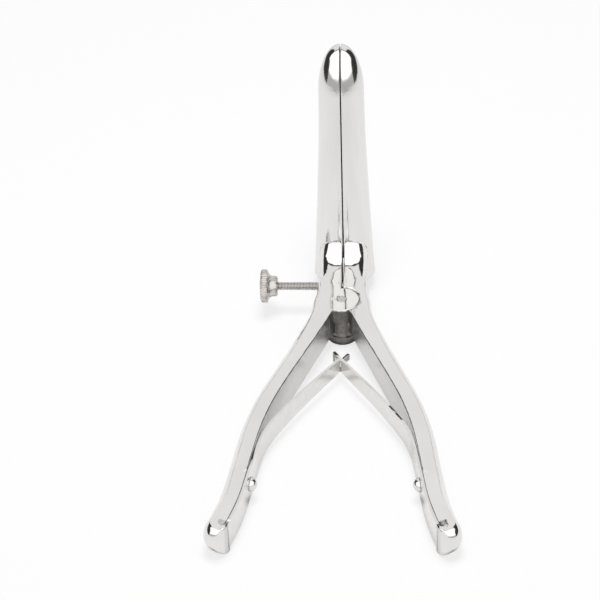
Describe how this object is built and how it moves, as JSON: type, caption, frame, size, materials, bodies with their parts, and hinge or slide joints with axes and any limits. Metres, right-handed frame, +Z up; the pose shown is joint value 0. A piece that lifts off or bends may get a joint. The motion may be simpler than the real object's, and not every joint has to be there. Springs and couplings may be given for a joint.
{
  "type": "anal speculum",
  "caption": "Two-blade speculum with half-round shells, squeeze handles, leaf return springs and a knurled set screw that holds the blades open.",
  "frame": {"origin": "centre of the flat face under the knurled pivot nut", "axes": "+Z up along the pivot axis, +Y from the pivot towards the blades, handles along -Y, +X to the right lever"},
  "size_m": [0.0796, 0.155, 0.0887],
  "materials": {
    "polished_lever": "mirror-polished stainless steel, rough forged on the ear sides",
    "polished_blade": "mirror-polished stainless steel",
    "screw_steel": "turned and knurled stainless steel",
    "spring_steel": "satin spring steel",
    "rivet_steel": "polished rivet steel"
  },
  "bodies": {
    "left_side": {"left_lever": "polished_lever", "left_blade": "polished_blade", "left_spring_rivet": "rivet_steel", "pivot_screw": "screw_steel", "pivot_washer": "screw_steel", "pivot_nut": "screw_steel"},
    "right_side": {"right_lever": "polished_lever", "right_blade": "polished_blade", "right_spring_rivet": "rivet_steel"},
    "left_leaf": {"left_spring": "spring_steel"},
    "right_leaf": {"right_spring": "spring_steel"},
    "set_screw": {"set_screw_rod": "screw_steel", "set_screw_knob": "screw_steel"}
  },
  "joints": [
    {"name": "lever_hinge", "type": "hinge", "parent": "left_side", "child": "right_side", "pos_m": [0, 0, 0.0103], "axis": [0, 0, -1], "range_deg": [0, 30], "stiffness_Nm_per_rad": 0.8, "springref_deg": -11.46},
    {"name": "left_leaf_flex", "type": "hinge", "parent": "left_side", "child": "left_leaf", "pos_m": [-0.0254, -0.0658, 0.0065], "axis": [0, 0, 1], "range_deg": [0, 8], "deforming": ["left_spring"]},
    {"name": "right_leaf_flex", "type": "hinge", "parent": "right_side", "child": "right_leaf", "pos_m": [0.0254, -0.0658, 0.0065], "axis": [0, 0, -1], "range_deg": [0, 8], "deforming": ["right_spring"]},
    {"name": "set_screw_travel", "type": "slide", "parent": "left_side", "child": "set_screw", "axis": [1, 0, 0], "range_m": [0, 0.0072]}
  ],
  "couplings": [
    {"joint": "left_leaf_flex", "follows": "lever_hinge", "ratio": 0.25},
    {"joint": "right_leaf_flex", "follows": "lever_hinge", "ratio": 0.25},
    {"joint": "set_screw_travel", "follows": "lever_hinge", "m_per_rad": 0.0135}
  ]
}
